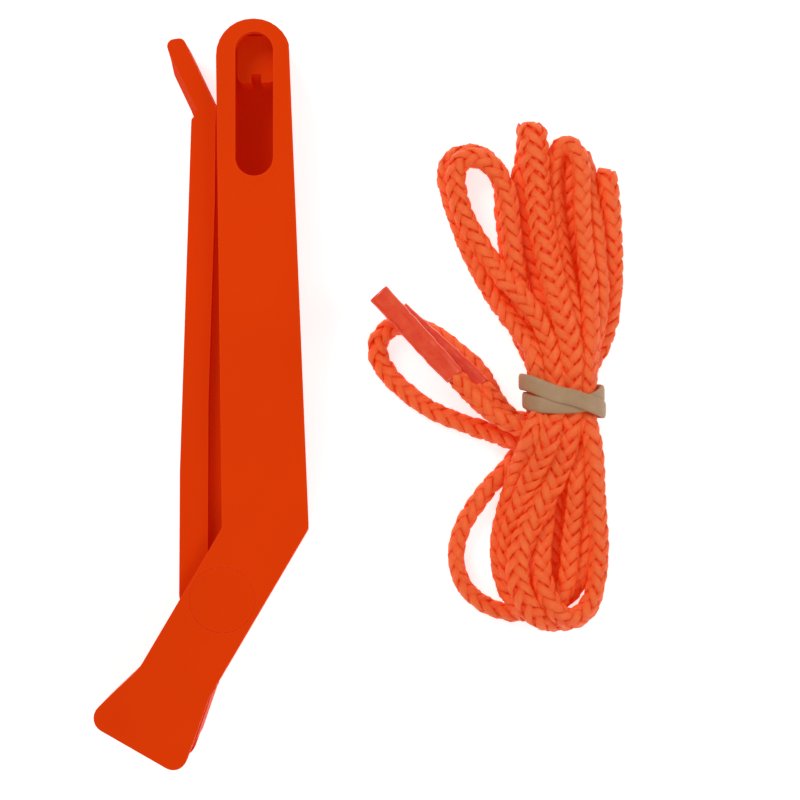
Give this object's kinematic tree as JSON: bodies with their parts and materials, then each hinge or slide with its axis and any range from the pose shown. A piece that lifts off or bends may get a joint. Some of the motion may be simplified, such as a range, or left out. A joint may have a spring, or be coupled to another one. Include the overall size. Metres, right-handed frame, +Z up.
{
  "type": "cord tourniquet",
  "caption": "Two-lever plastic cord clamp with a flared mouth, thumb tab and long window, with a banded hank of braided tourniquet cord beside it.",
  "frame": {"origin": "centre of the clamp's footprint, on the table it lies on; the cord, its sleeves and its band are left out of that box", "axes": "+Y along the clamp from the mouth to the round end, +Z up off the table out of the front face, +X to the side where the hank lies"},
  "size_m": [0.1347, 0.188, 0.018],
  "materials": {
    "lever_plastic": "fine matte moulded plastic, bright orange",
    "pin_plastic": "fine matte moulded plastic, bright orange",
    "cord": "eight-strand braided synthetic cord, slightly shiny, bright orange",
    "sleeve": "clear red shrink sleeve, satin",
    "band": "plain tan rubber, matte"
  },
  "bodies": {
    "clamp": {"outer_lever": "lever_plastic", "pivot_pin": "pin_plastic", "pin_cap": "pin_plastic"},
    "lever": {"inner_lever": "lever_plastic"},
    "hank": {"cord_upper_fan": "cord", "cord_waist": "cord", "cord_lower_fan": "cord", "cord_upper_loop_outer": "cord", "cord_upper_loop_inner": "cord", "cord_lower_loop": "cord", "cord_tail_loop": "cord", "cord_end_front": "cord", "cord_end_back": "cord", "sleeve_front": "sleeve", "sleeve_back": "sleeve", "rubber_band": "band"}
  },
  "joints": [
    {"name": "lever_hinge", "type": "hinge", "parent": "clamp", "child": "lever", "pos_m": [0.00525, -0.0516, 0.009], "axis": [0, 0, 1], "range_deg": [0, 20]},
    {"name": "hank_lift", "type": "slide", "parent": "clamp", "child": "hank", "axis": [0, 0, 1], "range_m": [0, 0.12]}
  ]
}
